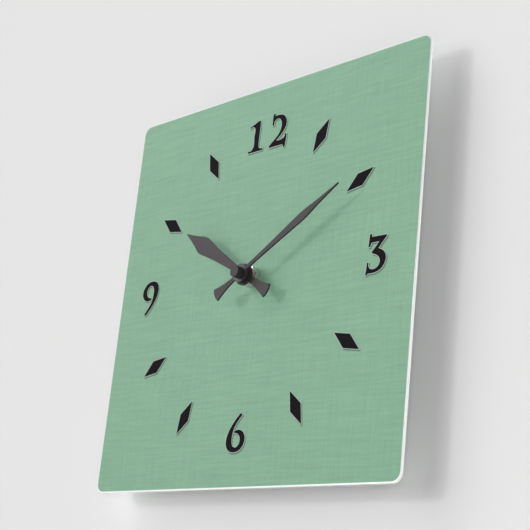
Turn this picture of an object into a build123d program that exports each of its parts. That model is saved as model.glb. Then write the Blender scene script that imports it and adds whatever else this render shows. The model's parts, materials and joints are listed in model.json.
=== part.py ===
from build123d import *
import math
import os

os.makedirs("parts", exist_ok=True)

# Square frameless wall clock: an acrylic sheet carried by its quartz movement.
# Frame: origin on the hands' axis at the wall, +X to the right seen from the front,
# +Y into the wall, +Z up. Depths below are distances d out from the wall, so y = -d.

# ------------------------------------------------------------------ driving dimensions (mm)
PANEL = 273.0            # side of the square face
PANEL_T = 2.0            # acrylic sheet
PANEL_R = 6.35           # corner radius
EDGE_POLISH = 0.25       # polished bevel round the front edge
MARGIN_L, MARGIN_R = 0.6, 0.5      # bare acrylic left round the print
MARGIN_T, MARGIN_B = 0.6, 1.1
PRINT_T = 0.10           # green ground
INK_T = 0.08             # black ink
LINE_T = 0.06            # pale outline
SHADE_T = 0.04           # dark shade line
OUTLINE = 0.45           # width of the pale outline
SHADE_DX, SHADE_DZ = 0.80, -0.90   # shift of the shade, right and down

CASE = 56.0              # movement case, square
CASE_D = 16.4            # case depth, wall to front face
CASE_WALL = 1.5          # side walls
CASE_FRONT_T = 1.4       # front wall
COVER_T = 1.5            # rear cover
GASKET_T = 0.8           # rubber washer

PANEL_BACK = CASE_D + GASKET_T
PANEL_FRONT = PANEL_BACK + PANEL_T
FACE = PANEL_FRONT + PRINT_T       # front of the printed ground

BUSH_R = 3.95            # M8 fine thread
BUSH_BORE = 2.56
THREAD_PITCH = 0.75
TUBE_R, TUBE_BORE = 2.5, 1.82      # hour wheel tube
CANNON_R, CANNON_BORE = 1.75, 0.56 # minute arbor
SECONDS_R = 0.5

# heights above the dial face
WASHER_T = 0.6
NUT_TOP = 4.3
BUSH_TOP = 5.0
HOUR_LO, HOUR_HI = 7.4, 8.6
MIN_LO, MIN_HI = 10.8, 12.0
BOSS_LO, BOSS_HI = 9.1, 12.25
BOSS_R = 2.7             # neck of the boss, through the minute hand
ARBOR_TOP = 13.4
CAP_HI = 17.0
HOUR_DIR = 148.8         # hour hand, degrees from +X towards +Z
MIN_DIR = 30.0           # minute hand

# train planes, distance from the wall: (start, thickness)
L_HOUR = (13.80, 0.80)
L_MINW = (12.45, 0.80)
L_CENTRE = (11.30, 0.70)
PLATE = (10.00, 0.90)
L_THIRD = (9.00, 0.60)
L_SECONDS = (8.00, 0.60)
L_FIFTH = (7.00, 0.60)
MAGNET = (4.60, 1.90)
STATOR = (5.10, 0.90)
CORE = (6.00, 0.90)
PIVOT_R, PIVOT_HOLE = 0.30, 0.34

# tooth counts and modules
M_ROT, M_SEC, M_THI, M_CEN, M_CAN, M_HOU = 0.15, 0.20, 0.2118, 0.20, 0.3125, 0.30
N_ROT, N_FIFTH = 12, 60
N_FPIN, N_SECONDS = 8, 48
N_SPIN, N_THIRD = 8, 60
N_TPIN, N_CENTRE = 8, 64
N_CANNON, N_MINUTE = 12, 36
N_MPIN, N_HOUR = 10, 40
N_KNOB = 10

# dial graphics
DIAMOND_R = 102.2        # marker centres from the middle of their ring
DIAMOND_CENTRE = (-0.96, -0.18)    # middle of the ring: the print sits slightly off the axis
DIAMOND_LONG, DIAMOND_SHORT = 24.6, 9.65

# battery (AA)
CELL_R, SLEEVE_R = 7.05, 7.25
CELL_X0, CELL_X1, NUB_X1 = -24.35, 24.85, 26.05
CELL_Z = -18.65
CELL_D = 7.55


def front(d):
    """Plane facing the viewer at distance d from the wall: local x is X, local y is Z."""
    return Plane.XZ.offset(d)


def polar(r, deg, origin=(0.0, 0.0)):
    return (origin[0] + r * math.cos(math.radians(deg)),
            origin[1] + r * math.sin(math.radians(deg)))


def angle(a, b):
    return math.degrees(math.atan2(b[1] - a[1], b[0] - a[0]))


def gear(n, m, centre, phase, add=0.80, ded=1.20, root=0.25, tip=0.095):
    """Closed outline of a small moulded gear: straight-flanked teeth with play."""
    rp = n * m / 2
    ra, rf = rp + add * m, rp - ded * m
    step = 360.0 / n
    pts = []
    for i in range(n):
        a = phase + i * step
        for r, off in ((rf, -root), (ra, -tip), (ra, tip), (rf, root)):
            pts.append(polar(r, a + off * step, centre))
    return pts


def mesh(phase_a, n_a, a, n_b, b):
    """Phase of gear b so that its gap faces gear a's tooth on the line of centres."""
    line = angle(a, b)
    f = ((phase_a - line) / (360.0 / n_a)) % 1.0
    return line + 180.0 - f * 360.0 / n_b + 180.0 / n_b


def strip(path, t):
    """Closed outline of a bent metal strip of thickness t along a path of points."""
    left, right = [], []
    for i, p in enumerate(path):
        q0 = path[max(i - 1, 0)]
        q1 = path[min(i + 1, len(path) - 1)]
        d = math.hypot(q1[0] - q0[0], q1[1] - q0[1])
        nx, ny = -(q1[1] - q0[1]) / d, (q1[0] - q0[0]) / d
        left.append((p[0] + nx * t / 2, p[1] + ny * t / 2))
        right.append((p[0] - nx * t / 2, p[1] - ny * t / 2))
    return left + right[::-1]


# arbor positions in the plane of the train
O = (0.0, 0.0)
T = polar((N_SPIN + N_THIRD) * M_THI / 2, 150.0)
Q = polar((N_FPIN + N_SECONDS) * M_SEC / 2, 60.0)
R = polar((N_ROT + N_FIFTH) * M_ROT / 2, 70.0, Q)
M = polar((N_CANNON + N_MINUTE) * M_CAN / 2, 0.0)
K = polar((N_MINUTE + N_KNOB) * M_CAN / 2, 20.0, M)

# tooth phases, so that every pair is in mesh at rest
P_MINUTE = 0.0
P_CANNON = mesh(P_MINUTE, N_MINUTE, M, N_CANNON, O)
P_KNOB = mesh(P_MINUTE, N_MINUTE, M, N_KNOB, K)
P_MPIN = 180.0
P_HOUR = mesh(P_MPIN, N_MPIN, M, N_HOUR, O)
P_ROT = 0.0
P_FIFTH = mesh(P_ROT, N_ROT, R, N_FIFTH, Q)
P_FPIN = 0.0
P_SECONDS = mesh(P_FPIN, N_FPIN, Q, N_SECONDS, O)
P_SPIN = 0.0
P_THIRD = mesh(P_SPIN, N_SPIN, O, N_THIRD, T)
P_TPIN = 0.0
P_CENTRE = mesh(P_TPIN, N_TPIN, T, N_CENTRE, O)

POSTS = [(-23.0, -7.0), (23.0, -7.0), (-23.0, 23.0), (23.0, 23.0)]


# ------------------------------------------------------------------ face
with BuildPart() as face_panel:
    with BuildSketch(front(PANEL_BACK)):
        RectangleRounded(PANEL, PANEL, PANEL_R)
        Circle(BUSH_R + 0.1, mode=Mode.SUBTRACT)
    extrude(amount=PANEL_T)
    rim = face_panel.faces().sort_by(Axis.Y)[0].outer_wire().edges()
    chamfer(rim, length=EDGE_POLISH)
face_panel.part.label = "face_panel"
export_step(face_panel.part, "parts/face_panel.step")

with BuildPart() as dial_print:
    with BuildSketch(front(PANEL_FRONT)):
        with Locations(((MARGIN_L - MARGIN_R) / 2, (MARGIN_B - MARGIN_T) / 2)):
            RectangleRounded(PANEL - MARGIN_L - MARGIN_R, PANEL - MARGIN_T - MARGIN_B,
                             PANEL_R - 0.6)
        Circle(BUSH_R + 0.1, mode=Mode.SUBTRACT)
    extrude(amount=PRINT_T)
dial_print.part.label = "dial_print"
export_step(dial_print.part, "parts/dial_print.step")

# Numeral outlines. Each glyph is a closed chain of runs: two points are a straight
# line, more are a smooth curve through them.
ONE = [
    [(-18.57, 110.26), (-15.5, 110.86), (-12.71, 112.04), (-10.44, 112.97)],
    [(-10.44, 112.97), (-8.87, 112.74)],
    [(-8.87, 112.74), (-8.7, 108.91), (-8.75, 103.91), (-8.9, 98.9), (-8.85, 94.95),
     (-8.01, 92.77), (-4.75, 92.16)],
    [(-4.75, 92.16), (-4.75, 90.45)],
    [(-4.75, 90.45), (-18.57, 90.45)],
    [(-18.57, 90.45), (-18.57, 92.19)],
    [(-18.57, 92.19), (-14.7, 92.69), (-13.52, 94.97), (-13.57, 98.88), (-13.67, 103.94),
     (-13.56, 107.43), (-14.57, 108.91), (-18.55, 108.49)],
    [(-18.55, 108.49), (-18.57, 110.26)],
]
TWO = [
    [(3.13, 114.42), (5.04, 114.42)],
    [(5.04, 114.42), (5.34, 112.74)],
    [(5.34, 112.74), (8.77, 112.82), (12.7, 111.89), (15.64, 109.15), (16.69, 105.8),
     (15.86, 102.23), (13.19, 98.64), (10.17, 95.92), (8.16, 94.3)],
    [(8.16, 94.3), (10.67, 94.12), (13.66, 94.4), (15.5, 95.41), (15.81, 97.62)],
    [(15.81, 97.62), (17.59, 97.62)],
    [(17.59, 97.62), (17.39, 92.35), (16.72, 88.14)],
    [(16.72, 88.14), (15.22, 88.14)],
    [(15.22, 88.14), (14.86, 89.69), (14.24, 90.34)],
    [(14.24, 90.34), (1.71, 90.34)],
    [(1.71, 90.34), (1.71, 91.73)],
    [(1.71, 91.73), (5.25, 94.55), (8.61, 97.32), (11.05, 100.43), (12.01, 103.72),
     (11.73, 106.98), (10.14, 109.41), (7.48, 110.24), (5.39, 109.24), (4.94, 105.94)],
    [(4.94, 105.94), (3.13, 105.94)],
    [(3.13, 105.94), (3.01, 110.28), (3.13, 114.42)],
]
THREE = [
    [(99.53, 13.23), (101.03, 13.23)],
    [(101.03, 13.23), (101.33, 11.33)],
    [(101.33, 11.33), (113.13, 11.13)],
    [(113.13, 11.13), (112.85, 9.88)],
    [(112.85, 9.88), (109.71, 6.55), (107.04, 3.33)],
    [(107.04, 3.33), (109.85, 2.2), (112.43, -0.07), (113.47, -3.08), (112.54, -7.01),
     (109.87, -9.89), (105.78, -11.43), (100.07, -11.55)],
    [(100.07, -11.55), (99.57, -12.43)],
    [(99.57, -12.43), (98.07, -12.43)],
    [(98.07, -12.43), (98.61, -8.48), (98.71, -4.57)],
    [(98.71, -4.57), (100.27, -4.57)],
    [(100.27, -4.57), (100.43, -7.48), (101.94, -8.89), (104.51, -9.17), (107.3, -8.12),
     (108.81, -5.66), (108.25, -2.72), (105.83, -0.61), (102.39, 0.71)],
    [(102.39, 0.71), (101.85, 1.64)],
    [(101.85, 1.64), (104.97, 4.85), (107.28, 7.67)],
    [(107.28, 7.67), (101.21, 7.57)],
    [(101.21, 7.57), (100.41, 5.07)],
    [(100.41, 5.07), (99, 5.07)],
    [(99, 5.07), (99.21, 9.12), (99.53, 13.23)],
]
SIX = [
    [(3.97, -90.3), (2.94, -89.28), (1.67, -89.48)],
    [(1.67, -89.48), (-1.79, -92.93), (-5.32, -97.37), (-7.85, -101.93), (-8.88, -106.34),
     (-7.93, -110.42), (-4.78, -113.15), (-0.43, -113.83), (4.11, -112.64), (7.24, -109.51),
     (8.18, -105.63), (7.02, -102.26), (4.07, -100.04), (0.62, -99.62), (-2.08, -100.5)],
    [(-2.08, -100.5), (-2.08, -101.61)],
    [(-2.08, -101.61), (0.83, -102.05), (2.88, -103.64), (3.72, -106.16), (2.79, -109.25),
     (0.32, -110.72), (-2.14, -109.9), (-3.43, -107.48), (-3.62, -103.67), (-2.73, -99.12),
     (-0.48, -95.25), (3.97, -90.3)],
]
SIX_CENTRE = (-0.25, -101.55)
NINE_CENTRE = (-104.83, -0.35)
NINE = [[(NINE_CENTRE[0] + SIX_CENTRE[0] - x, NINE_CENTRE[1] + SIX_CENTRE[1] - z)
         for x, z in run] for run in SIX]
GLYPHS = [ONE, TWO, THREE, SIX, NINE]

MARKER_ANGLES = [a for a in range(0, 360, 30) if a % 90]

# faces of the numerals and of the diamonds, and the same faces grown by the outline's width
marker_faces = []
for glyph in GLYPHS:
    with BuildSketch() as glyph_face:
        with BuildLine():
            for run in glyph:
                if len(run) == 2:
                    Line(*run)
                else:
                    Spline(*run)
        make_face()
    marker_faces.append(glyph_face.sketch)
DIAMOND = [(-DIAMOND_LONG / 2, 0), (0, DIAMOND_SHORT / 2), (DIAMOND_LONG / 2, 0),
           (0, -DIAMOND_SHORT / 2)]
for a in MARKER_ANGLES:
    with BuildSketch() as diamond_face:
        with Locations(Location(polar(DIAMOND_R, a, DIAMOND_CENTRE), a)):
            Polygon(*DIAMOND, align=None)
    marker_faces.append(diamond_face.sketch)


def facets(wire):
    """Points along a closed wire, close enough to read as smooth curves."""
    points = []
    for edge in wire.order_edges():
        count = 1 if edge.geom_type == GeomType.LINE else max(2, int(edge.length / 0.3))
        run = [edge @ (i / count) for i in range(count + 1)]
        if points:
            if (run[0] - points[-1]).length > (run[-1] - points[-1]).length:
                run.reverse()
            run = run[1:]
        points += run
    if (points[0] - points[-1]).length < 1e-4:
        points.pop()
    return points


def grow(face, amount):
    """A marker grown all round; a gap narrower than the growth closes into a counter."""
    with BuildSketch() as round_grown:
        add(face)
        offset(amount=amount, kind=Kind.ARC)
    outline = round_grown.sketch.faces()[0]
    with BuildSketch() as facetted_face:
        with BuildLine():
            Polyline(*facets(outline.outer_wire()), close=True)
        make_face()
        for hole in outline.inner_wires():
            with BuildLine():
                Polyline(*facets(hole), close=True)
            make_face(mode=Mode.SUBTRACT)
    return facetted_face.sketch


grown_faces = [grow(face, OUTLINE) for face in marker_faces]

with BuildPart() as numerals:
    with BuildSketch(front(FACE)):
        for face in marker_faces[:len(GLYPHS)]:
            add(face)
    extrude(amount=INK_T)
numerals.part.label = "numerals"
export_step(numerals.part, "parts/numerals.step")

with BuildPart() as diamond_markers:
    with BuildSketch(front(FACE)):
        for face in marker_faces[len(GLYPHS):]:
            add(face)
    extrude(amount=INK_T)
diamond_markers.part.label = "diamond_markers"
export_step(diamond_markers.part, "parts/diamond_markers.step")

# Pale outline: each marker grown all round, less the marker itself.
with BuildPart() as marker_outline:
    for face, grown in zip(marker_faces, grown_faces):
        with BuildSketch(front(FACE)):
            add(grown)
            add(face, mode=Mode.SUBTRACT)
        extrude(amount=LINE_T)
marker_outline.part.label = "marker_outline"
export_step(marker_outline.part, "parts/marker_outline.step")

# Shade line: the grown marker moved down and right, less the grown marker in place.
with BuildPart() as marker_shade:
    for grown in grown_faces:
        with BuildSketch(front(FACE)):
            with Locations((SHADE_DX, SHADE_DZ)):
                add(grown)
            add(grown, mode=Mode.SUBTRACT)
        extrude(amount=SHADE_T)
marker_shade.part.label = "marker_shade"
export_step(marker_shade.part, "parts/marker_shade.step")

# ------------------------------------------------------------------ fixing through the panel
with BuildPart() as nut_washer:
    with BuildSketch(front(FACE)):
        Circle(5.95)
        Circle(BUSH_R + 0.1, mode=Mode.SUBTRACT)
    extrude(amount=WASHER_T)
nut_washer.part.label = "nut_washer"
export_step(nut_washer.part, "parts/nut_washer.step")

with BuildPart() as hex_nut:
    with BuildSketch(front(FACE + WASHER_T)):
        RegularPolygon(radius=6.0, side_count=6, major_radius=False, rotation=12)
        Circle(BUSH_R + 0.05, mode=Mode.SUBTRACT)
    extrude(amount=NUT_TOP - WASHER_T)
    with BuildSketch(Plane.XY):
        with BuildLine():
            Polyline((0, -(FACE + WASHER_T)), (6.5, -(FACE + WASHER_T)),
                     (7.0, -(FACE + WASHER_T + 0.3)), (7.0, -(FACE + NUT_TOP - 0.6)),
                     (5.9, -(FACE + NUT_TOP)), (0, -(FACE + NUT_TOP)), close=True)
        make_face()
    revolve(axis=Axis.Y, mode=Mode.INTERSECT)
hex_nut.part.label = "hex_nut"
export_step(hex_nut.part, "parts/hex_nut.step")

thread = [(BUSH_R, -17.3)]
d = 17.3
while d + THREAD_PITCH < FACE + BUSH_TOP - 0.3:
    thread += [(BUSH_R - 0.4, -(d + THREAD_PITCH / 2)), (BUSH_R, -(d + THREAD_PITCH))]
    d += THREAD_PITCH
with BuildPart() as threaded_bush:
    with BuildSketch(Plane.XY):
        with BuildLine():
            Polyline((BUSH_BORE, -(CASE_D - CASE_FRONT_T)), (BUSH_R, -(CASE_D - CASE_FRONT_T)),
                     *thread, (BUSH_R - 0.4, -(FACE + BUSH_TOP)), (BUSH_BORE, -(FACE + BUSH_TOP)),
                     close=True)
        make_face()
    revolve(axis=Axis.Y)
threaded_bush.part.label = "threaded_bush"
export_step(threaded_bush.part, "parts/threaded_bush.step")

with BuildPart() as rubber_washer:
    with BuildSketch(front(CASE_D)):
        Circle(11.0)
        Circle(BUSH_R + 0.1, mode=Mode.SUBTRACT)
    extrude(amount=GASKET_T)
rubber_washer.part.label = "rubber_washer"
export_step(rubber_washer.part, "parts/rubber_washer.step")

# ------------------------------------------------------------------ movement case
INNER = CASE - 2 * CASE_WALL
CAVITY_D = CASE_D - CASE_FRONT_T
SNAPS_SIDE = [(-1, 12.0), (1, 12.0)]
with BuildPart() as case_front:
    with BuildSketch(front(COVER_T)):
        RectangleRounded(CASE, CASE, 2.0)
    extrude(amount=CASE_D - COVER_T)
    chamfer(case_front.faces().sort_by(Axis.Y)[0].edges(), length=0.5)
    with BuildSketch(front(COVER_T)):
        Rectangle(INNER, INNER)
    extrude(amount=CAVITY_D - COVER_T, mode=Mode.SUBTRACT)
    # wall between the battery bay and the train, with slots for the contact tails
    with BuildSketch(front(COVER_T)):
        with Locations((0, -10.3)):
            Rectangle(INNER, 1.0)
    extrude(amount=CAVITY_D - COVER_T)
    with BuildSketch(front(8.5)):
        with Locations((INNER / 2 - 0.25, -10.3), (-INNER / 2 + 0.25, -10.3)):
            Rectangle(0.5, 1.0)
    extrude(amount=1.2, mode=Mode.SUBTRACT)
    # cradle ribs that carry the cell
    with BuildSketch(front(14.2)):
        with Locations((-14, CELL_Z), (14, CELL_Z)):
            Rectangle(1.2, 15.7)
    extrude(amount=CAVITY_D - 14.2)
    with BuildSketch(Plane.YZ.offset(-INNER / 2)):
        with Locations((-CELL_D, CELL_Z)):
            Circle(SLEEVE_R + 0.15)
    extrude(amount=INNER, mode=Mode.SUBTRACT)
    # pillars for the middle plate
    with BuildSketch(front(PLATE[0] + PLATE[1])):
        with Locations(*POSTS):
            Circle(1.8)
    extrude(amount=CAVITY_D - PLATE[0] - PLATE[1])
    with BuildSketch(front(PLATE[0])):
        with Locations(*POSTS):
            Circle(0.8)
    extrude(amount=PLATE[1])
    # hole for the bush, blind bearings for the front pivots
    with BuildSketch(front(CAVITY_D - 0.1)):
        Circle(BUSH_R)
    extrude(amount=CASE_FRONT_T + 0.2, mode=Mode.SUBTRACT)
    with BuildSketch(front(CAVITY_D)):
        with Locations(T, M):
            Circle(PIVOT_HOLE)
        with Locations(K):
            Circle(0.64)
    extrude(amount=0.85, mode=Mode.SUBTRACT)
    # windows for the cover's snap hooks
    with BuildSketch(Plane.YZ.offset(-30)):
        with Locations((-4.0, 12.0)):
            Rectangle(2.2, 6.4)
    extrude(amount=60, mode=Mode.SUBTRACT)
    with BuildSketch(Plane.XY.offset(24)):
        with Locations((-18.0, -4.0), (18.0, -4.0)):
            Rectangle(6.4, 2.2)
        with Locations((-8.0, -6.0), (8.0, -6.0)):
            Circle(0.9)
    extrude(amount=6, mode=Mode.SUBTRACT)
case_front.part.label = "case_front"
export_step(case_front.part, "parts/case_front.step")

WELL_D = 4.4
with BuildPart() as rear_cover:
    with BuildSketch(front(0)):
        RectangleRounded(CASE, CASE, 2.0)
    extrude(amount=COVER_T)
    chamfer(rear_cover.faces().sort_by(Axis.Y)[-1].edges(), length=0.4)
    # knob well
    with BuildSketch(front(COVER_T)):
        with Locations(K):
            Circle(7.7)
    extrude(amount=WELL_D - COVER_T)
    with BuildSketch(front(0)):
        with Locations(K):
            Circle(6.9)
    extrude(amount=WELL_D - 0.8, mode=Mode.SUBTRACT)
    with BuildSketch(front(WELL_D - 0.9)):
        with Locations(K):
            Circle(1.12)
    extrude(amount=1.0, mode=Mode.SUBTRACT)
    # battery opening
    with BuildSketch(front(-0.1)):
        with Locations((0, CELL_Z)):
            Rectangle(52.6, 15.3)
    extrude(amount=COVER_T + 0.2, mode=Mode.SUBTRACT)
    # columns that clamp the middle plate
    with BuildSketch(front(COVER_T)):
        with Locations(*POSTS):
            Circle(1.6)
    extrude(amount=PLATE[0] - COVER_T)
    # snap hooks: springy tabs inside the walls, with noses in the case's windows
    with BuildSketch(front(COVER_T)):
        with Locations((-INNER / 2 + 0.5, 12.0), (INNER / 2 - 0.5, 12.0)):
            Rectangle(1.0, 6.0)
        with Locations((-18.0, INNER / 2 - 0.5), (18.0, INNER / 2 - 0.5)):
            Rectangle(6.0, 1.0)
    extrude(amount=4.6)
    with BuildSketch(front(3.05)):
        with Locations((-INNER / 2 - 0.4, 12.0), (INNER / 2 + 0.4, 12.0)):
            Rectangle(0.8, 6.0)
        with Locations((-18.0, INNER / 2 + 0.4), (18.0, INNER / 2 + 0.4)):
            Rectangle(6.0, 0.8)
    extrude(amount=1.9)
    # blind bearings for the rear pivots
    with BuildSketch(front(0.7)):
        with Locations(O, T, Q, R):
            Circle(PIVOT_HOLE)
    extrude(amount=0.85, mode=Mode.SUBTRACT)
    # ribs moulded on the outside
    with BuildSketch(front(0.0)):
        with Locations((-12.0, 16.0), (-12.0, 19.0), (-12.0, 22.0)):
            RectangleRounded(18.0, 0.9, 0.4)
    extrude(amount=0.35, mode=Mode.SUBTRACT)
rear_cover.part.label = "rear_cover"
export_step(rear_cover.part, "parts/rear_cover.step")

with BuildPart() as middle_plate:
    with BuildSketch(front(PLATE[0])):
        with Locations((0, 8.2)):
            Rectangle(51.0, 35.0)
        with Locations(*POSTS):
            Circle(0.8, mode=Mode.SUBTRACT)
        Circle(CANNON_BORE, mode=Mode.SUBTRACT)
        with Locations(T):
            Circle(1.35, mode=Mode.SUBTRACT)
        with Locations(K):
            Circle(1.12, mode=Mode.SUBTRACT)
        with Locations(Q, R, M):
            Circle(PIVOT_HOLE, mode=Mode.SUBTRACT)
        with Locations((-18.0, 27.0), (18.0, 27.0)):
            Rectangle(7.0, 6.0, mode=Mode.SUBTRACT)
    extrude(amount=PLATE[1])
middle_plate.part.label = "middle_plate"
export_step(middle_plate.part, "parts/middle_plate.step")

# ------------------------------------------------------------------ hanger
HANG_Z = 35.5
with BuildPart() as hanger:
    with BuildSketch(front(0)):
        with Locations((0, 37.0)):
            RectangleRounded(28.0, 18.0, 4.0)
        with Locations((0, 30.6)):
            Rectangle(28.0, 5.2)
    extrude(amount=1.2)
    with BuildSketch(front(0)):
        with Locations((0, 28.6)):
            Rectangle(28.0, 1.2)
    extrude(amount=11.0)
    # keyhole: the head passes the round part, the shank rises into the slot
    with BuildSketch(front(-0.1)):
        with Locations((0, HANG_Z)):
            Circle(4.5)
        with Locations((0, HANG_Z + 2.6)):
            Rectangle(4.0, 5.2)
        with Locations((0, HANG_Z + 5.2)):
            Circle(2.0)
    extrude(amount=1.4, mode=Mode.SUBTRACT)
    with BuildSketch(Plane.XY.offset(27)):
        with Locations((-8.0, -6.0), (8.0, -6.0)):
            Circle(1.1)
    extrude(amount=3, mode=Mode.SUBTRACT)
hanger.part.label = "hanger"
export_step(hanger.part, "parts/hanger.step")

with BuildPart() as hanger_screws:
    with BuildSketch(Plane.XY.offset(25.2)):
        with Locations((-8.0, -6.0), (8.0, -6.0)):
            Circle(0.9)
    extrude(amount=4.0)
    with BuildSketch(Plane.XY.offset(29.2)):
        with Locations((-8.0, -6.0), (8.0, -6.0)):
            Circle(1.9)
    extrude(amount=1.1)
    fillet(hanger_screws.faces().sort_by(Axis.Z)[-2:].edges(), radius=0.4)
    with BuildSketch(Plane.XY.offset(29.8)):
        with Locations((-8.0, -6.0), (8.0, -6.0)):
            Rectangle(2.2, 0.5)
            Rectangle(0.5, 2.2)
    extrude(amount=1.0, mode=Mode.SUBTRACT)
hanger_screws.part.label = "hanger_screws"
export_step(hanger_screws.part, "parts/hanger_screws.step")

# ------------------------------------------------------------------ motor and electronics
with BuildPart() as stator:
    with BuildSketch(front(STATOR[0])):
        with Locations((1.5, 9.92)):
            Rectangle(29.0, 7.4)
        with Locations((-11.0, 14.0), (14.0, 14.0)):
            Rectangle(4.0, 14.5)
        with Locations(R):
            Circle(2.65, mode=Mode.SUBTRACT)
    extrude(amount=STATOR[1])
stator.part.label = "stator"
export_step(stator.part, "parts/stator.step")

COIL_Z = 19.5
COIL_D = CORE[0] + CORE[1] / 2
with BuildPart() as coil_core:
    with BuildSketch(front(CORE[0])):
        with Locations((1.5, COIL_Z)):
            Rectangle(29.0, 2.6)
    extrude(amount=CORE[1])
coil_core.part.label = "coil_core"
export_step(coil_core.part, "parts/coil_core.step")

with BuildPart() as coil_bobbin:
    with BuildSketch(Plane.YZ.offset(-8.0)):
        with Locations((-COIL_D, COIL_Z)):
            Circle(3.5)
    extrude(amount=0.8)
    with BuildSketch(Plane.YZ.offset(10.2)):
        with Locations((-COIL_D, COIL_Z)):
            Circle(3.5)
    extrude(amount=0.8)
    with BuildSketch(Plane.YZ.offset(-7.2)):
        with Locations((-COIL_D, COIL_Z)):
            Circle(2.0)
    extrude(amount=17.4)
    with BuildSketch(Plane.YZ.offset(-9.0)):
        with Locations((-COIL_D, COIL_Z)):
            Rectangle(CORE[1], 2.6)
    extrude(amount=22.0, mode=Mode.SUBTRACT)
coil_bobbin.part.label = "coil_bobbin"
export_step(coil_bobbin.part, "parts/coil_bobbin.step")

with BuildPart() as coil_winding:
    with BuildSketch(Plane.YZ.offset(-7.2)):
        with Locations((-COIL_D, COIL_Z)):
            Circle(3.1)
            Circle(2.0, mode=Mode.SUBTRACT)
    extrude(amount=17.4)
coil_winding.part.label = "coil_winding"
export_step(coil_winding.part, "parts/coil_winding.step")

with BuildPart() as circuit_board:
    with BuildSketch(front(9.0)):
        with Locations((-19.6, 7.0)):
            Rectangle(10.8, 22.0)
    extrude(amount=1.0)
circuit_board.part.label = "circuit_board"
export_step(circuit_board.part, "parts/circuit_board.step")

with BuildPart() as control_chip:
    with BuildSketch(front(8.2)):
        with Locations((-19.0, 5.0)):
            RectangleRounded(5.0, 5.0, 1.2)
    extrude(amount=0.8)
    fillet(control_chip.faces().sort_by(Axis.Y)[-1].edges(), radius=0.5)
control_chip.part.label = "control_chip"
export_step(control_chip.part, "parts/control_chip.step")

with BuildPart() as quartz_crystal:
    with BuildSketch(Plane.XY.offset(10.0)):
        with Locations((-18.0, -8.0)):
            Circle(1.0)
    extrude(amount=6.0)
quartz_crystal.part.label = "quartz_crystal"
export_step(quartz_crystal.part, "parts/quartz_crystal.step")

with BuildPart() as positive_contact:
    with BuildSketch(front(3.0)):
        with Locations((26.3, -18.0)):
            Rectangle(0.4, 12.0)
    extrude(amount=9.0)
    with BuildSketch(front(8.6)):
        with Locations((26.3, -10.7)):
            Rectangle(0.4, 2.7)
        with Locations((5.5, -9.6)):
            Rectangle(42.0, 0.4)
        with Locations((-15.3, -6.95)):
            Rectangle(0.4, 5.7)
    extrude(amount=1.0)
    with BuildSketch(front(8.6)):
        with Locations((-15.3, -3.4)):
            Rectangle(1.6, 1.8)
    extrude(amount=0.4)
positive_contact.part.label = "positive_contact"
export_step(positive_contact.part, "parts/positive_contact.step")

LEAF = [(-26.3, -25.4), (-25.3, -22.6), (-24.62, -19.6), (-24.62, -17.6), (-25.1, -15.6),
        (-25.7, -14.4)]
with BuildPart() as negative_contact:
    with BuildSketch(front(4.0)):
        with Locations((-26.35, -18.6)):
            Rectangle(0.3, 13.6)
    extrude(amount=7.0)
    with BuildSketch(front(4.0)):
        with BuildLine():
            Polyline(*strip(LEAF, 0.3), close=True)
        make_face()
    extrude(amount=7.0)
    with BuildSketch(front(8.6)):
        with Locations((-26.35, -7.4)):
            Rectangle(0.3, 10.0)
        with Locations((-25.4, -3.0)):
            Rectangle(2.2, 1.2)
    extrude(amount=0.4)
negative_contact.part.label = "negative_contact"
export_step(negative_contact.part, "parts/negative_contact.step")

# ------------------------------------------------------------------ battery
with BuildPart() as battery_cell:
    with BuildSketch(Plane.YZ.offset(CELL_X0)):
        with Locations((-CELL_D, CELL_Z)):
            Circle(CELL_R)
    extrude(amount=CELL_X1 - CELL_X0)
    with BuildSketch(Plane.YZ.offset(CELL_X1)):
        with Locations((-CELL_D, CELL_Z)):
            Circle(2.75)
    extrude(amount=NUB_X1 - CELL_X1)
battery_cell.part.label = "battery_cell"
export_step(battery_cell.part, "parts/battery_cell.step")

with BuildPart() as battery_sleeve:
    with BuildSketch(Plane.YZ.offset(CELL_X0 + 0.5)):
        with Locations((-CELL_D, CELL_Z)):
            Circle(SLEEVE_R)
            Circle(CELL_R, mode=Mode.SUBTRACT)
    extrude(amount=CELL_X1 - CELL_X0 - 1.0)
battery_sleeve.part.label = "battery_sleeve"
export_step(battery_sleeve.part, "parts/battery_sleeve.step")

# ------------------------------------------------------------------ going train
with BuildPart() as rotor_magnet:
    with BuildSketch(front(MAGNET[0])):
        with Locations(R):
            Circle(2.3)
            Circle(0.4, mode=Mode.SUBTRACT)
    extrude(amount=MAGNET[1])
rotor_magnet.part.label = "rotor_magnet"
export_step(rotor_magnet.part, "parts/rotor_magnet.step")

with BuildPart() as rotor_pinion:
    with BuildSketch(front(L_FIFTH[0] - 0.1)):
        with BuildLine():
            Polyline(*gear(N_ROT, M_ROT, R, P_ROT), close=True)
        make_face()
    extrude(amount=L_FIFTH[1] + 0.2)
    with BuildSketch(front(1.8)):
        with Locations(R):
            Circle(0.4)
    extrude(amount=PLATE[0] - 0.2 - 1.8)
    with BuildSketch(front(0.8)):
        with Locations(R):
            Circle(PIVOT_R)
    extrude(amount=PLATE[0] + 0.7 - 0.8)
rotor_pinion.part.label = "rotor_pinion"
export_step(rotor_pinion.part, "parts/rotor_pinion.step")

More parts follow.
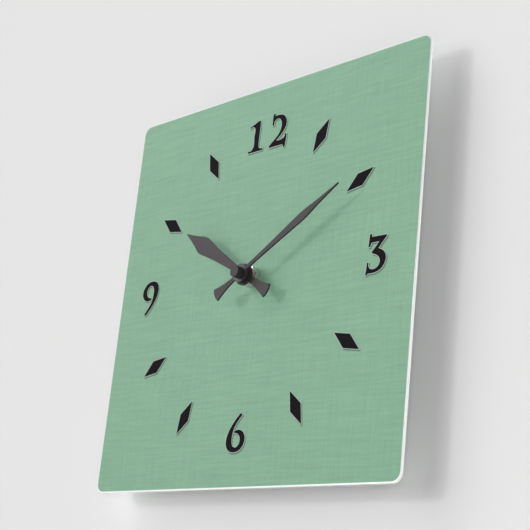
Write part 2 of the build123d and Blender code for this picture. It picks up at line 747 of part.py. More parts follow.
with BuildPart() as fifth_wheel:
    with BuildSketch(front(L_FIFTH[0])):
        with BuildLine():
            Polyline(*gear(N_FIFTH, M_ROT, Q, P_FIFTH), close=True)
        make_face()
    extrude(amount=L_FIFTH[1])
    with BuildSketch(front(L_SECONDS[0] - 0.1)):
        with BuildLine():
            Polyline(*gear(N_FPIN, M_SEC, Q, P_FPIN), close=True)
        make_face()
    extrude(amount=L_SECONDS[1] + 0.2)
    with BuildSketch(front(1.8)):
        with Locations(Q):
            Circle(0.45)
    extrude(amount=PLATE[0] - 0.2 - 1.8)
    with BuildSketch(front(0.8)):
        with Locations(Q):
            Circle(PIVOT_R)
    extrude(amount=PLATE[0] + 0.7 - 0.8)
fifth_wheel.part.label = "fifth_wheel"
export_step(fifth_wheel.part, "parts/fifth_wheel.step")

with BuildPart() as seconds_wheel:
    with BuildSketch(front(L_SECONDS[0])):
        with BuildLine():
            Polyline(*gear(N_SECONDS, M_SEC, O, P_SECONDS), close=True)
        make_face()
    extrude(amount=L_SECONDS[1])
    with BuildSketch(front(L_THIRD[0] - 0.1)):
        with BuildLine():
            Polyline(*gear(N_SPIN, M_THI, O, P_SPIN), close=True)
        make_face()
    extrude(amount=L_THIRD[1] + 0.2)
    with BuildSketch(front(1.8)):
        Circle(SECONDS_R)
    extrude(amount=FACE + ARBOR_TOP - 0.3 - 1.8)
    with BuildSketch(front(0.8)):
        Circle(PIVOT_R)
    extrude(amount=1.0)
seconds_wheel.part.label = "seconds_wheel"
export_step(seconds_wheel.part, "parts/seconds_wheel.step")

with BuildPart() as third_wheel:
    with BuildSketch(front(L_THIRD[0])):
        with BuildLine():
            Polyline(*gear(N_THIRD, M_THI, T, P_THIRD), close=True)
        make_face()
    extrude(amount=L_THIRD[1])
    with BuildSketch(front(L_CENTRE[0] - 0.2)):
        with BuildLine():
            Polyline(*gear(N_TPIN, M_CEN, T, P_TPIN), close=True)
        make_face()
    extrude(amount=L_CENTRE[1] + 0.4)
    with BuildSketch(front(1.8)):
        with Locations(T):
            Circle(0.45)
    extrude(amount=CAVITY_D - 0.2 - 1.8)
    with BuildSketch(front(0.8)):
        with Locations(T):
            Circle(PIVOT_R)
    extrude(amount=CAVITY_D + 0.7 - 0.8)
third_wheel.part.label = "third_wheel"
export_step(third_wheel.part, "parts/third_wheel.step")

SEAT_R = 1.15
with BuildPart() as centre_wheel:
    with BuildSketch(front(L_CENTRE[0])):
        with BuildLine():
            Polyline(*gear(N_CENTRE, M_CEN, O, P_CENTRE), close=True)
        make_face()
        Circle(SEAT_R + 0.03, mode=Mode.SUBTRACT)
    extrude(amount=L_CENTRE[1])
centre_wheel.part.label = "centre_wheel"
export_step(centre_wheel.part, "parts/centre_wheel.step")

# ------------------------------------------------------------------ motion work
with BuildPart() as cannon_pinion:
    with BuildSketch(front(L_CENTRE[0] - 0.2)):
        Circle(SEAT_R)
    extrude(amount=L_MINW[0] - 0.1 - L_CENTRE[0])
    with BuildSketch(front(L_MINW[0] - 0.3)):
        with BuildLine():
            Polyline(*gear(N_CANNON, M_CAN, O, P_CANNON), close=True)
        make_face()
    extrude(amount=L_MINW[1] + 0.4)
    with BuildSketch(front(L_MINW[0] + L_MINW[1] + 0.1)):
        Circle(CANNON_R)
    extrude(amount=FACE + ARBOR_TOP - L_MINW[0] - L_MINW[1] - 0.1)
    with BuildSketch(front(10)):
        Circle(CANNON_BORE)
    extrude(amount=30, mode=Mode.SUBTRACT)
cannon_pinion.part.label = "cannon_pinion"
export_step(cannon_pinion.part, "parts/cannon_pinion.step")

with BuildPart() as minute_wheel:
    with BuildSketch(front(L_MINW[0])):
        with BuildLine():
            Polyline(*gear(N_MINUTE, M_CAN, M, P_MINUTE), close=True)
        make_face()
    extrude(amount=L_MINW[1])
    with BuildSketch(front(L_MINW[0] + L_MINW[1])):
        with BuildLine():
            Polyline(*gear(N_MPIN, M_HOU, M, P_MPIN), close=True)
        make_face()
    extrude(amount=L_HOUR[0] + L_HOUR[1] + 0.1 - L_MINW[0] - L_MINW[1])
    with BuildSketch(front(PLATE[0] + PLATE[1] + 0.15)):
        with Locations(M):
            Circle(0.5)
    extrude(amount=2.0)
    with BuildSketch(front(PLATE[0] + 0.2)):
        with Locations(M):
            Circle(PIVOT_R)
    extrude(amount=CAVITY_D + 0.7 - PLATE[0] - 0.2)
minute_wheel.part.label = "minute_wheel"
export_step(minute_wheel.part, "parts/minute_wheel.step")

with BuildPart() as hour_wheel:
    with BuildSketch(front(L_HOUR[0])):
        with BuildLine():
            Polyline(*gear(N_HOUR, M_HOU, O, P_HOUR), close=True)
        make_face()
    extrude(amount=L_HOUR[1])
    with BuildSketch(front(L_HOUR[0])):
        Circle(TUBE_R)
    extrude(amount=FACE + HOUR_HI - L_HOUR[0])
    with BuildSketch(front(L_HOUR[0] - 1)):
        Circle(TUBE_BORE)
    extrude(amount=30, mode=Mode.SUBTRACT)
hour_wheel.part.label = "hour_wheel"
export_step(hour_wheel.part, "parts/hour_wheel.step")

with BuildPart() as setting_knob:
    with BuildSketch(front(0.35)):
        with Locations(K):
            Circle(6.4)
        with Locations(K):
            with PolarLocations(6.55, 24):
                Circle(0.45, mode=Mode.SUBTRACT)
    extrude(amount=2.9)
    with BuildSketch(front(3.0)):
        with Locations(K):
            Circle(1.05)
    extrude(amount=L_MINW[0] - 0.2 - 3.0)
    with BuildSketch(front(L_MINW[0] - 0.2)):
        with BuildLine():
            Polyline(*gear(N_KNOB, M_CAN, K, P_KNOB), close=True)
        make_face()
    extrude(amount=L_MINW[1] + 0.4)
    with BuildSketch(front(L_MINW[0])):
        with Locations(K):
            Circle(0.6)
    extrude(amount=CAVITY_D + 0.7 - L_MINW[0])
    # arrow-free finger dish on the knob's face
    with BuildSketch(front(0.35)):
        with Locations(K):
            Circle(4.2)
            Circle(3.4, mode=Mode.SUBTRACT)
    extrude(amount=0.5, mode=Mode.SUBTRACT)
setting_knob.part.label = "setting_knob"
export_step(setting_knob.part, "parts/setting_knob.step")

# ------------------------------------------------------------------ hands
HOUR_TOP = [(-26.3, 4.8), (-21.0, 3.5), (-15.0, 2.6), (-8.0, 2.2), (0.0, 2.1), (13.0, 2.5),
            (25.0, 3.3), (37.0, 4.4), (46.5, 5.65), (50.5, 6.1), (53.0, 5.95), (55.8, 5.05),
            (60.0, 3.6), (66.0, 1.9), (72.6, 0.25)]
MIN_TOP = [(-24.3, 4.6), (-19.5, 3.2), (-14.0, 2.1), (-7.0, 1.4), (0.0, 1.15), (10.0, 1.2),
           (22.0, 1.45), (40.0, 2.05), (54.0, 2.6), (60.0, 2.7), (65.0, 2.4), (72.0, 1.6),
           (80.0, 0.95), (92.7, 0.18)]


def hand_plane(d, direction):
    """Plane at depth d whose local x runs along the hand, from the axis to its tip."""
    a = math.radians(direction)
    return Plane(origin=(0, -d, 0), x_dir=(math.cos(a), 0, math.sin(a)), z_dir=(0, -1, 0))


with BuildPart() as hour_hand:
    with BuildSketch(hand_plane(FACE + HOUR_LO, HOUR_DIR)):
        with BuildLine():
            Spline(*HOUR_TOP)
            Line(HOUR_TOP[-1], (HOUR_TOP[-1][0], -HOUR_TOP[-1][1]))
            Spline(*[(x, -y) for x, y in reversed(HOUR_TOP)])
            ThreePointArc((HOUR_TOP[0][0], -HOUR_TOP[0][1]), (-27.4, 0), HOUR_TOP[0])
        make_face()
        Circle(7.2)
        Circle(TUBE_R, mode=Mode.SUBTRACT)
    extrude(amount=HOUR_HI - HOUR_LO)
hour_hand.part.label = "hour_hand"
export_step(hour_hand.part, "parts/hour_hand.step")

with BuildPart() as minute_hand:
    with BuildSketch(hand_plane(FACE + MIN_LO, MIN_DIR)):
        with BuildLine():
            Spline(*MIN_TOP)
            Line(MIN_TOP[-1], (MIN_TOP[-1][0], -MIN_TOP[-1][1]))
            Spline(*[(x, -y) for x, y in reversed(MIN_TOP)])
            ThreePointArc((MIN_TOP[0][0], -MIN_TOP[0][1]), (-25.4, 0), MIN_TOP[0])
        make_face()
        Circle(6.2)
        Circle(BOSS_R, mode=Mode.SUBTRACT)
    extrude(amount=MIN_HI - MIN_LO)
minute_hand.part.label = "minute_hand"
export_step(minute_hand.part, "parts/minute_hand.step")

# Spool-shaped boss that grips the minute hand between its flanges and presses on the arbor.
with BuildPart() as hand_boss:
    with BuildSketch(Plane.XY):
        with BuildLine():
            Polyline((CANNON_R, -(FACE + BOSS_LO)), (5.1, -(FACE + BOSS_LO)),
                     (5.1, -(FACE + MIN_LO)), (BOSS_R, -(FACE + MIN_LO)),
                     (BOSS_R, -(FACE + MIN_HI)), (6.2, -(FACE + MIN_HI)),
                     (6.2, -(FACE + BOSS_HI - 0.1)), (6.1, -(FACE + BOSS_HI)),
                     (CANNON_R, -(FACE + BOSS_HI)), close=True)
        make_face()
    revolve(axis=Axis.Y)
hand_boss.part.label = "hand_boss"
export_step(hand_boss.part, "parts/hand_boss.step")

# Cap over the end of the arbor, on the front of the boss.
with BuildPart() as hand_cap:
    with BuildSketch(front(FACE + BOSS_HI)):
        Circle(3.9)
    extrude(amount=CAP_HI - BOSS_HI)
    fillet(hand_cap.faces().sort_by(Axis.Y)[0].edges(), radius=0.3)
    with BuildSketch(front(FACE + BOSS_HI)):
        Circle(CANNON_R)
    extrude(amount=ARBOR_TOP + 0.2 - BOSS_HI, mode=Mode.SUBTRACT)
hand_cap.part.label = "hand_cap"
export_step(hand_cap.part, "parts/hand_cap.step")
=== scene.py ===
import json
import math

import bpy
from mathutils import Matrix, Vector


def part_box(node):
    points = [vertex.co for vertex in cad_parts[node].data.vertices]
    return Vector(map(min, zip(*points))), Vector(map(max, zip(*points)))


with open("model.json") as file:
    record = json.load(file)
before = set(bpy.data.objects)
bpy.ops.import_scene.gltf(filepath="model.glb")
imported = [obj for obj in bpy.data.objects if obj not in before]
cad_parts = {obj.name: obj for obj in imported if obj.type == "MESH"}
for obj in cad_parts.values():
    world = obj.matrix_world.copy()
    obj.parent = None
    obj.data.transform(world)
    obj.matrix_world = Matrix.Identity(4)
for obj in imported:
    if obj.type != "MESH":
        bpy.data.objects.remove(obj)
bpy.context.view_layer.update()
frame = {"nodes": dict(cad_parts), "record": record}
scene = bpy.context.scene


# ------------------------------------------------------------------ small node-graph helper
class Graph:
    """A material's node tree, with short names for the few nodes used here."""

    def __init__(self, name):
        self.mat = bpy.data.materials.new(name)
        self.mat.use_nodes = True
        self.t = self.mat.node_tree
        self.t.nodes.clear()
        self.out = self.t.nodes.new("ShaderNodeOutputMaterial")
        self.bsdf = self.t.nodes.new("ShaderNodeBsdfPrincipled")
        self.t.links.new(self.bsdf.outputs[0], self.out.inputs[0])
        self.co = self.t.nodes.new("ShaderNodeTexCoord").outputs["Object"]

    def put(self, socket, value):
        if isinstance(value, bpy.types.NodeSocket):
            self.t.links.new(value, socket)
        else:
            socket.default_value = value

    def mapped(self, scale, rot=(0, 0, 0), loc=(0, 0, 0), source=None):
        n = self.t.nodes.new("ShaderNodeMapping")
        self.put(n.inputs["Vector"], source or self.co)
        n.inputs["Scale"].default_value = scale
        n.inputs["Rotation"].default_value = rot
        n.inputs["Location"].default_value = loc
        return n.outputs[0]

    def noise(self, vec, scale=1.0, detail=3.0, rough=0.5, distortion=0.0):
        n = self.t.nodes.new("ShaderNodeTexNoise")
        self.put(n.inputs["Vector"], vec)
        n.inputs["Scale"].default_value = scale
        n.inputs["Detail"].default_value = detail
        n.inputs["Roughness"].default_value = rough
        n.inputs["Distortion"].default_value = distortion
        return n.outputs["Fac"]

    def voronoi(self, vec, scale=1.0, feature="F1", out="Distance"):
        n = self.t.nodes.new("ShaderNodeTexVoronoi")
        n.feature = feature
        self.put(n.inputs["Vector"], vec)
        n.inputs["Scale"].default_value = scale
        return n.outputs[out]

    def wave(self, vec, scale, axis="X", distortion=0.0, detail=0.0, kind="BANDS"):
        n = self.t.nodes.new("ShaderNodeTexWave")
        n.wave_type = kind
        if kind == "BANDS":
            n.bands_direction = axis
        else:
            n.rings_direction = axis
        self.put(n.inputs["Vector"], vec)
        n.inputs["Scale"].default_value = scale
        n.inputs["Distortion"].default_value = distortion
        n.inputs["Detail"].default_value = detail
        return n.outputs["Fac"]

    def math(self, op, a, b=0.0, c=0.0, clamp=False):
        n = self.t.nodes.new("ShaderNodeMath")
        n.operation = op
        n.use_clamp = clamp
        self.put(n.inputs[0], a)
        self.put(n.inputs[1], b)
        self.put(n.inputs[2], c)
        return n.outputs[0]

    def spread(self, v, lo, hi, a=0.0, b=1.0):
        n = self.t.nodes.new("ShaderNodeMapRange")
        self.put(n.inputs["Value"], v)
        n.inputs["From Min"].default_value = lo
        n.inputs["From Max"].default_value = hi
        n.inputs["To Min"].default_value = a
        n.inputs["To Max"].default_value = b
        return n.outputs[0]

    def mix(self, fac, a, b, blend="MIX"):
        n = self.t.nodes.new("ShaderNodeMix")
        n.data_type = "RGBA"
        n.blend_type = blend
        self.put(n.inputs["Factor"], fac)
        self.put(n.inputs["A"], a if isinstance(a, bpy.types.NodeSocket) else rgba(a))
        self.put(n.inputs["B"], b if isinstance(b, bpy.types.NodeSocket) else rgba(b))
        return n.outputs["Result"]

    def xyz(self, source=None):
        n = self.t.nodes.new("ShaderNodeSeparateXYZ")
        self.put(n.inputs[0], source or self.co)
        return n.outputs

    def bump(self, height, strength, distance, normal=None):
        n = self.t.nodes.new("ShaderNodeBump")
        self.put(n.inputs["Height"], height)
        n.inputs["Strength"].default_value = strength
        n.inputs["Distance"].default_value = distance
        if normal is not None:
            self.put(n.inputs["Normal"], normal)
        return n.outputs[0]

    def done(self, color=None, rough=None, normal=None, **scalars):
        if color is not None:
            self.put(self.bsdf.inputs["Base Color"], color if isinstance(color, bpy.types.NodeSocket) else rgba(color))
        if rough is not None:
            self.put(self.bsdf.inputs["Roughness"], rough)
        if normal is not None:
            self.put(self.bsdf.inputs["Normal"], normal)
        for k, v in scalars.items():
            self.bsdf.inputs[k.replace("_", " ")].default_value = v
        return self.mat


def lin(c):
    c = c / 255.0
    return c / 12.92 if c <= 0.04045 else ((c + 0.055) / 1.055) ** 2.4


def srgb(r, g, b):
    return (lin(r), lin(g), lin(b))


def rgba(c):
    return (c[0], c[1], c[2], 1.0)


def scaled(c, k):
    return tuple(min(1.0, x * k) for x in c)


# ------------------------------------------------------------------ materials
def linen_print(name, base, weave=1.0, rough=0.5):
    """Printed ground: a fine linen pattern of crossed light and dark threads."""
    g = Graph(name)
    across = g.noise(g.mapped((26.0, 1.0, 440.0)), 1.0, 3.0, 0.62)
    down = g.noise(g.mapped((470.0, 1.0, 34.0), loc=(3.1, 0.0, 7.7)), 1.0, 3.0, 0.62)
    fine_a = g.noise(g.mapped((160.0, 1.0, 1900.0), loc=(1.0, 0.0, 5.0)), 1.0, 2.0, 0.5)
    fine_d = g.noise(g.mapped((1900.0, 1.0, 160.0), loc=(9.0, 0.0, 2.0)), 1.0, 2.0, 0.5)
    cloud = g.noise(g.mapped((9.0, 1.0, 9.0)), 1.0, 3.0, 0.55)
    coarse = g.math("ADD", g.math("MULTIPLY", across, 0.6), g.math("MULTIPLY", down, 0.4))
    fine = g.math("ADD", g.math("MULTIPLY", fine_a, 0.5), g.math("MULTIPLY", fine_d, 0.5))
    v = g.math("ADD", g.math("MULTIPLY", coarse, 0.68), g.math("MULTIPLY", fine, 0.22))
    v = g.math("ADD", v, g.math("MULTIPLY", cloud, 0.10))
    f = g.spread(v, 0.36, 0.64)
    color = g.mix(f, scaled(base, 1.0 - 0.13 * weave), scaled(base, 1.0 + 0.13 * weave))
    warm = g.noise(g.mapped((5.0, 1.0, 5.0), loc=(4.0, 0.0, 1.0)), 1.0, 2.0, 0.5)
    color = g.mix(g.spread(warm, 0.35, 0.65, 0.0, 0.10), color, scaled((base[0] * 1.10, base[1], base[2] * 0.94), 1.0))
    rr = g.spread(fine, 0.3, 0.7, rough - 0.06, rough + 0.06)
    return g.done(color, rr, g.bump(fine, 0.10, 0.00004), Specular_IOR_Level=0.12)


def ink(name, base, rough=0.6):
    """A flat layer of ink with the slight mottle of a printed solid."""
    g = Graph(name)
    m = g.noise(g.co, 900.0, 4.0, 0.6)
    big = g.noise(g.co, 60.0, 2.0, 0.5)
    color = g.mix(g.spread(m, 0.3, 0.7), scaled(base, 0.86), scaled(base, 1.14))
    color = g.mix(g.spread(big, 0.3, 0.7, 0.0, 0.35), color, scaled(base, 1.12))
    return g.done(color, g.spread(m, 0.3, 0.7, rough - 0.05, rough + 0.07), g.bump(m, 0.12, 0.00003), Specular_IOR_Level=0.03)


def acrylic(name, base):
    """Cast sheet: polished edge with faint saw and flame-polish ripple, hazy inside."""
    g = Graph(name)
    rip = g.noise(g.mapped((40.0, 900.0, 40.0)), 1.0, 3.0, 0.55)
    haze = g.noise(g.co, 26.0, 3.0, 0.5)
    dust = g.spread(g.voronoi(g.co, 420.0), 0.0, 0.05, 1.0, 0.0)
    color = g.mix(g.spread(haze, 0.3, 0.7), scaled(base, 0.975), scaled(base, 1.02))
    color = g.mix(g.math("MULTIPLY", dust, 0.10, clamp=True), color, (0.72, 0.74, 0.72))
    return g.done(color, g.spread(rip, 0.3, 0.7, 0.14, 0.24), g.bump(rip, 0.16, 0.00006),
                  Subsurface_Weight=0.25, Subsurface_Scale=0.004, Subsurface_Radius=(1.0, 1.0, 0.9),
                  Coat_Weight=0.3, Coat_Roughness=0.08)


def moulded(name, base, rough=0.5, grain=2600.0, depth=0.00003, gloss=0.4, flow=0.06):
    """Injection-moulded plastic: spark-eroded grain, flow marks and slight sheen changes."""
    g = Graph(name)
    fine = g.noise(g.co, grain, 5.0, 0.65)
    pits = g.voronoi(g.co, grain * 0.8)
    flowing = g.noise(g.mapped((40.0, 40.0, 90.0)), 1.0, 4.0, 0.6, 0.6)
    scuff = g.spread(g.noise(g.mapped((900.0, 300.0, 25.0), rot=(0.3, 0.5, 0.6)), 1.0, 2.0, 0.5), 0.66, 0.74)
    color = g.mix(g.spread(flowing, 0.3, 0.7), scaled(base, 1.0 - flow), scaled(base, 1.0 + flow))
    color = g.mix(g.math("MULTIPLY", scuff, 0.22), color, scaled(base, 1.7))
    height = g.math("ADD", g.math("MULTIPLY", fine, 0.7), g.math("MULTIPLY", pits, 0.3))
    rr = g.spread(flowing, 0.3, 0.7, rough - 0.07, rough + 0.07)
    return g.done(color, rr, g.bump(height, 0.35, depth), Specular_IOR_Level=gloss)


def painted(name, base, rough=0.42):
    """Satin paint on thin stamped metal: orange peel, faint dust and softened edges."""
    g = Graph(name)
    peel = g.noise(g.co, 1500.0, 3.0, 0.5)
    broad = g.noise(g.co, 90.0, 3.0, 0.55)
    speck = g.spread(g.voronoi(g.co, 1300.0), 0.0, 0.10, 1.0, 0.0)
    color = g.mix(g.spread(broad, 0.3, 0.7), scaled(base, 0.93), scaled(base, 1.07))
    color = g.mix(g.spread(peel, 0.35, 0.65, 0.0, 0.5), color, scaled(base, 1.12))
    color = g.mix(g.math("MULTIPLY", speck, 0.25, clamp=True), color, scaled(base, 2.2))
    return g.done(color, g.spread(broad, 0.3, 0.7, rough - 0.05, rough + 0.06),
                  g.bump(peel, 0.22, 0.00003), Specular_IOR_Level=0.13)


def turned(name, base, rough=0.24, tint=None, rings=5200.0, centre=(0.0, 0.0), metal=1.0):
    """Turned or plated metal: rings about the Y axis, fine scratches and a patchy tarnish."""
    g = Graph(name)
    x, _, z = g.xyz()
    r = g.math("SQRT", g.math("ADD", g.math("POWER", g.math("ABSOLUTE", g.math("SUBTRACT", x, centre[0])), 2.0),
                              g.math("POWER", g.math("ABSOLUTE", g.math("SUBTRACT", z, centre[1])), 2.0)))
    comb = g.t.nodes.new("ShaderNodeCombineXYZ")
    g.put(comb.inputs[0], r)
    lathe = g.noise(comb.outputs[0], rings, 2.0, 0.5)
    scratch = g.noise(g.mapped((2500.0, 2500.0, 60.0), rot=(0.2, 0.9, 0.4)), 1.0, 2.0, 0.6)
    patch = g.noise(g.co, 260.0, 4.0, 0.6)
    color = g.mix(g.spread(patch, 0.35, 0.68), base, tint or scaled(base, 0.84))
    rr = g.math("ADD", g.spread(scratch, 0.3, 0.7, rough - 0.05, rough + 0.09), g.spread(patch, 0.4, 0.7, 0.0, 0.07))
    h = g.math("ADD", g.math("MULTIPLY", lathe, 0.6), g.math("MULTIPLY", scratch, 0.4))
    return g.done(color, rr, g.bump(h, 0.25, 0.00002), Metallic=metal)


def sheet_metal(name, base, rough=0.34, along=(30.0, 2200.0, 2200.0), tint=None):
    """Rolled and plated sheet: brushing lines along one direction, spangle, handling marks."""
    g = Graph(name)
    lines = g.noise(g.mapped(along), 1.0, 3.0, 0.6)
    spangle = g.voronoi(g.co, 300.0, out="Color")
    marks = g.spread(g.noise(g.co, 420.0, 5.0, 0.7), 0.58, 0.75)
    color = g.mix(0.10, base, spangle, "OVERLAY")
    color = g.mix(g.math("MULTIPLY", marks, 0.3), color, tint or scaled(base, 0.7))
    rr = g.math("ADD", g.spread(lines, 0.3, 0.7, rough - 0.06, rough + 0.08), g.math("MULTIPLY", marks, 0.12))
    return g.done(color, rr, g.bump(lines, 0.22, 0.00003), Metallic=1.0)


def wound(name, base):
    """Enamelled wire laid in turns round the X axis, with painted shade darkening the grooves between turns."""
    g = Graph(name)
    turns = g.wave(g.co, 1100.0, "X", 0.3, 2.0)
    tone = g.noise(g.mapped((260.0, 60.0, 60.0)), 1.0, 3.0, 0.6)
    color = g.mix(g.spread(tone, 0.3, 0.7), scaled(base, 0.7), scaled(base, 1.15))
    # painted shade: the troughs of the turns wave (the grooves between turns) are darkened to stand in for shade
    color = g.mix(g.spread(turns, 0.0, 0.5, 0.5, 0.0), color, scaled(base, 0.35))
    return g.done(color, 0.3, g.bump(turns, 0.6, 0.00008), Metallic=0.85, Coat_Weight=0.5, Coat_Roughness=0.2)


def board(name, base):
    """Solder mask over copper tracks."""
    g = Graph(name)
    tracks = g.t.nodes.new("ShaderNodeTexBrick")
    g.put(tracks.inputs["Vector"], g.mapped((1.0, 1.0, 1.0), rot=(math.radians(90), 0, 0)))
    tracks.inputs["Scale"].default_value = 260.0
    tracks.inputs["Mortar Size"].default_value = 0.09
    grain = g.noise(g.co, 1800.0, 3.0, 0.6)
    color = g.mix(tracks.outputs["Fac"], scaled(base, 1.35), base)
    color = g.mix(g.spread(grain, 0.3, 0.7, 0.0, 0.25), color, scaled(base, 0.7))
    h = g.math("ADD", tracks.outputs["Fac"], g.math("MULTIPLY", grain, 0.15))
    return g.done(color, 0.32, g.bump(h, 0.4, 0.00004), Coat_Weight=0.4, Coat_Roughness=0.15)


def film(name, base, band):
    """Shrink sleeve of a dry cell: plain dark film with one plain band, fine wrinkles."""
    g = Graph(name)
    x = g.xyz()[0]
    wrinkle = g.noise(g.mapped((60.0, 700.0, 700.0)), 1.0, 4.0, 0.6)
    edge = g.math("GREATER_THAN", x, 0.0125)
    color = g.mix(edge, base, band)
    tone = g.noise(g.co, 300.0, 3.0, 0.5)
    color = g.mix(g.spread(tone, 0.3, 0.7, 0.0, 0.2), color, scaled(base, 1.3))
    return g.done(color, g.spread(wrinkle, 0.3, 0.7, 0.22, 0.36), g.bump(wrinkle, 0.25, 0.00005), Coat_Weight=0.35, Coat_Roughness=0.12)


def rubbery(name, base):
    g = Graph(name)
    talc = g.noise(g.co, 700.0, 5.0, 0.7)
    pores = g.voronoi(g.co, 2600.0)
    color = g.mix(g.spread(talc, 0.45, 0.75), base, scaled(base, 2.4))
    return g.done(color, g.spread(talc, 0.3, 0.7, 0.72, 0.88), g.bump(pores, 0.3, 0.00004), Specular_IOR_Level=0.25)


GREEN = srgb(129, 172, 144)
MAT = {
    "acrylic": acrylic("acrylic_edge", srgb(238, 244, 240)),
    "green_print": linen_print("linen_green_print", GREEN),
    "black_ink": ink("black_ink", srgb(26, 23, 27), 0.75),
    "pale_ink": ink("pale_ink", srgb(166, 186, 173), 0.55),
    "shade_ink": ink("shade_ink", srgb(96, 124, 104), 0.55),
    "nickel": turned("nickel_plate", (0.80, 0.79, 0.76), 0.30, (0.70, 0.66, 0.60)),
    "brass": turned("turned_brass", (0.72, 0.53, 0.26), 0.28, (0.50, 0.34, 0.15)),
    "rubber": rubbery("black_rubber", (0.018, 0.018, 0.018)),
    "black_plastic": moulded("case_plastic", (0.020, 0.020, 0.022), 0.48),
    "white_plastic": moulded("acetal", srgb(228, 226, 214), 0.42, 3200.0, 0.00002),
    "hand_paint": painted("hand_paint", srgb(54, 48, 51)),
    "zinc_steel": sheet_metal("zinc_plate", (0.60, 0.62, 0.64), 0.34),
    "contact_steel": sheet_metal("contact_spring_steel", (0.72, 0.71, 0.68), 0.24, (2200.0, 30.0, 2200.0)),
    "iron": sheet_metal("bare_lamination", (0.36, 0.36, 0.38), 0.42, (30.0, 2200.0, 2200.0), (0.22, 0.13, 0.08)),
    "magnet": moulded("sintered_magnet", (0.045, 0.045, 0.05), 0.45, 1800.0, 0.00004, 0.6),
    "copper": wound("copper_wire", (0.62, 0.26, 0.12)),
    "board": board("solder_mask", (0.02, 0.13, 0.05)),
    "resin": moulded("potting_resin", (0.012, 0.012, 0.012), 0.2, 1200.0, 0.00002, 0.6),
    "cell_steel": turned("cell_can", (0.70, 0.69, 0.66), 0.22, (0.60, 0.58, 0.54)),
    "sleeve": film("cell_sleeve", srgb(38, 46, 66), srgb(176, 132, 66)),
}

SLOT = {s["node"]: s["material_slot"] for s in frame["record"]["subparts"]}
for node, obj in frame["nodes"].items():
    obj.data.materials.clear()
    obj.data.materials.append(MAT[SLOT[node]])

# a little roundness on stamped and cut edges that catch the light
BEVEL = {"hour_hand": 0.00016, "minute_hand": 0.00014, "nut_washer": 0.00008, "hanger": 0.0001}
for node, width in BEVEL.items():
    b = frame["nodes"][node].modifiers.new("edge", "BEVEL")
    b.width = width
    b.segments = 2
    b.limit_method = "ANGLE"
    b.angle_limit = math.radians(40)

# ------------------------------------------------------------------ stage: pale wall and floor
def plane(name, size, location, rotation, mat):
    me = bpy.data.meshes.new(name)
    s = size / 2
    me.from_pydata([(-s, -s, 0), (s, -s, 0), (s, s, 0), (-s, s, 0)], [], [(0, 1, 2, 3)])
    me.materials.append(mat)
    ob = bpy.data.objects.new(name, me)
    scene.collection.objects.link(ob)
    ob.location = location
    ob.rotation_euler = rotation
    return ob


def plaster(name, base, see_through=False):
    g = Graph(name)
    roller = g.noise(g.co, 260.0, 4.0, 0.6)
    broad = g.noise(g.co, 3.0, 2.0, 0.5)
    color = g.mix(g.spread(broad, 0.3, 0.7), scaled(base, 0.985), scaled(base, 1.01))
    mat = g.done(color, 0.9, g.bump(roller, 0.08, 0.0002), Specular_IOR_Level=0.1)
    if see_through:
        # the wall is seen and shaded from its front only, so the clock's back can be looked at
        # and lit, and no light from behind it reaches the front by bouncing in the gap
        path = g.t.nodes.new("ShaderNodeLightPath")
        geo = g.t.nodes.new("ShaderNodeNewGeometry")
        clear = g.t.nodes.new("ShaderNodeBsdfTransparent")
        pick = g.t.nodes.new("ShaderNodeMixShader")
        direct = g.math("LESS_THAN", path.outputs["Diffuse Depth"], 0.5)
        f = g.math("MAXIMUM", geo.outputs["Backfacing"], g.math("MULTIPLY", path.outputs["Is Shadow Ray"], direct))
        g.put(pick.inputs[0], f)
        g.put(pick.inputs[1], g.bsdf.outputs[0])
        g.put(pick.inputs[2], clear.outputs[0])
        g.put(g.out.inputs[0], pick.outputs[0])
    return mat


FLOOR_Z = -1.25
wall = plane("stage_wall", 6.0, (0, 0.0006, FLOOR_Z + 3.0), (math.radians(90), 0, 0), plaster("stage_wall_paint", (0.80, 0.80, 0.80), True))
floor = plane("stage_floor", 12.0, (0, 0, FLOOR_Z), (0, 0, 0), plaster("stage_floor_paint", (0.78, 0.78, 0.77)))

# ------------------------------------------------------------------ light
world = bpy.data.worlds.new("world")
scene.world = world
world.use_nodes = True
bg = world.node_tree.nodes["Background"]
bg.inputs[0].default_value = (1.0, 1.0, 1.0, 1.0)
bg.inputs[1].default_value = 0.07


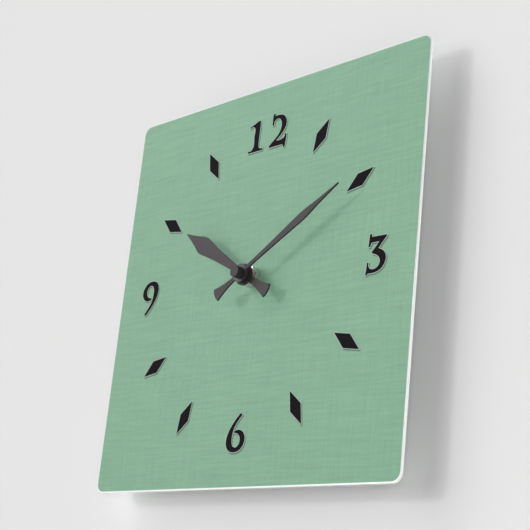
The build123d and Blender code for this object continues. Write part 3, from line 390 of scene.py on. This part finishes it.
def area(name, loc, target, size, power, color=(1, 1, 1), shape="SQUARE"):
    data = bpy.data.lights.new(name, "AREA")
    data.energy = power
    data.color = color
    data.shape = shape
    data.size = size
    ob = bpy.data.objects.new(name, data)
    scene.collection.objects.link(ob)
    ob.location = loc
    ob.rotation_euler = (Vector(target) - Vector(loc)).to_track_quat("-Z", "Y").to_euler()
    return ob


def sun(name, direction, spread, power):
    data = bpy.data.lights.new(name, "SUN")
    data.energy = power
    data.angle = math.radians(spread)
    ob = bpy.data.objects.new(name, data)
    scene.collection.objects.link(ob)
    ob.rotation_euler = (-Vector(direction)).to_track_quat("-Z", "Y").to_euler()
    return ob


key = sun("key", (-1.03, -1.0, 0.38), 58.0, 1.55)
crisp = sun("crisp", (-0.86, -1.0, 0.32), 8.0, 0.50)
side = area("side", (-2.2, -0.8, 2.4), (0, 0, 0), 2.0, 56.0)
fill = area("fill", (2.2, -2.0, -0.42), (0, 0, 0), 1.2, 28.0)
area("back_left", (-1.3, 1.7, 1.0), (0, 0, 0), 1.0, 22.0)
area("back_right", (1.5, 1.5, 0.3), (0, 0, 0), 1.2, 14.0)

# The two hands throw only the crisp light's shadow: the wide lights are not blocked by them.
blockers = bpy.data.collections.new("soft_light_blockers")
for node, obj in frame["nodes"].items():
    if node not in ("hour_hand", "minute_hand"):
        blockers.objects.link(obj)
for ob in (wall, floor):
    blockers.objects.link(ob)
for light in (key, side, fill):
    light.light_linking.blocker_collection = blockers

# ------------------------------------------------------------------ camera: seen from the right and a little below
face_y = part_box("dial_print")[0].y
cam_data = bpy.data.cameras.new("camera")
cam_data.sensor_width = 36.0
cam_data.lens = 90.48
cam_data.clip_start = 0.01
cam_data.clip_end = 50.0
cam = bpy.data.objects.new("camera", cam_data)
scene.collection.objects.link(cam)
right = Vector((0.69617299, 0.71082973, 0.10032079))
up = Vector((0.14145158, -0.2728368, 0.95160471))
back = Vector((0.70380013, -0.64829096, -0.2904896))
place = Vector((0.61345, -0.55582 + face_y, -0.24178))
cam.matrix_world = Matrix(((right.x, up.x, back.x, place.x), (right.y, up.y, back.y, place.y),
                           (right.z, up.z, back.z, place.z), (0, 0, 0, 1)))
scene.camera = cam

scene.view_settings.view_transform = "Standard"
scene.view_settings.look = "None"
scene.view_settings.exposure = 0.0
scene.view_settings.gamma = 1.0
